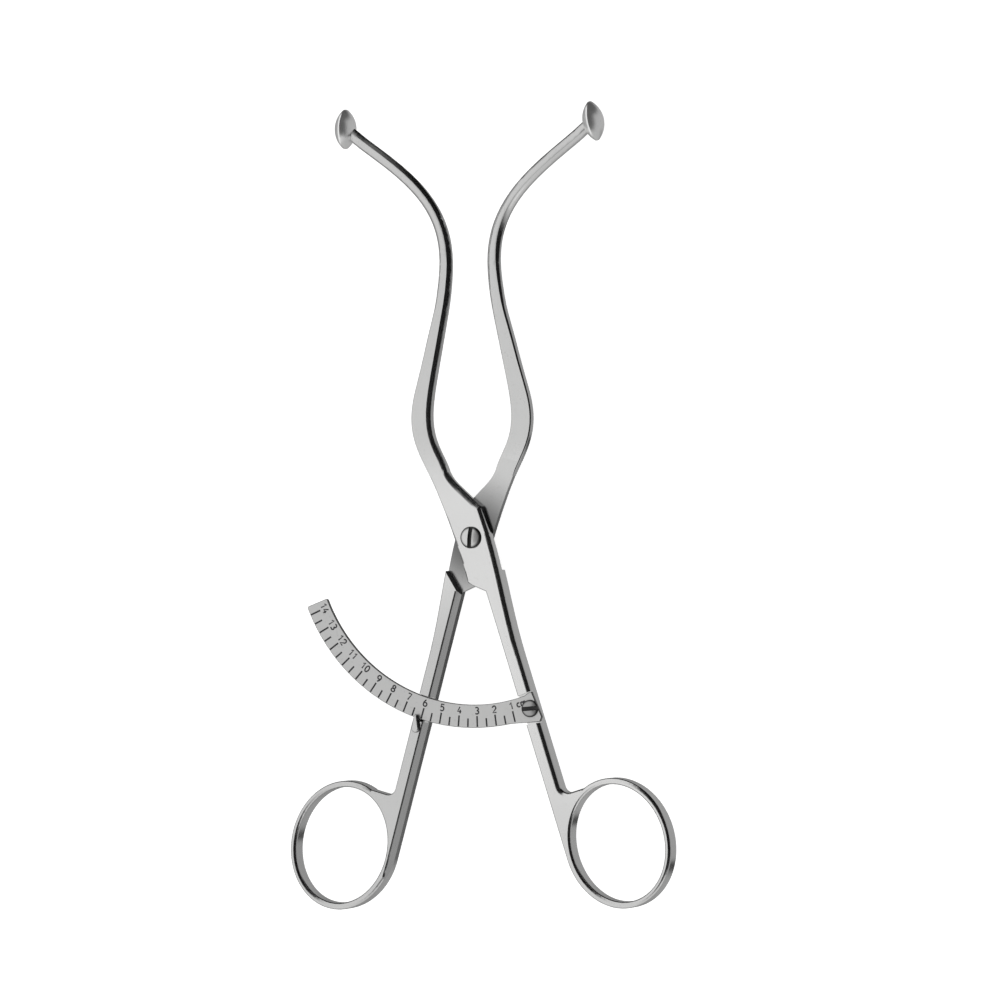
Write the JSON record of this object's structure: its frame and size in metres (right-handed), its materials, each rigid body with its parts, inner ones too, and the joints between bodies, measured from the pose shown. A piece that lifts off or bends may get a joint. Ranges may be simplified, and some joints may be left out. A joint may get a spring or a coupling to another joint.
{
  "type": "pelvimeter",
  "caption": "Hand pelvimeter: crossed levers with finger rings, domed measuring discs on S-shaped arms, and an arc centimetre scale on the shanks.",
  "frame": {"origin": "on the joint screw's axis, at the back face of the joint", "axes": "+Z out of the front of the joint, along its axis; +Y towards the measuring discs; +X to the right seen from the front"},
  "size_m": [0.0954, 0.191, 0.0126],
  "materials": {
    "lever_steel": "satin, bright on the edges",
    "scale_steel": "matt, with dark engraved marks",
    "screw_steel": "bright turned"
  },
  "bodies": {
    "rear": {"rear_lever": "lever_steel", "right_disc": "lever_steel", "joint_screw": "screw_steel", "guide_hook": "screw_steel"},
    "front": {"front_lever": "lever_steel", "left_disc": "lever_steel", "scale_bar": "scale_steel", "scale_screw": "screw_steel"}
  },
  "joints": [
    {"name": "lever_pivot", "type": "hinge", "parent": "rear", "child": "front", "pos_m": [0, 0, 0.0025], "axis": [0, 0, 1], "range_deg": [-28, 44]}
  ]
}
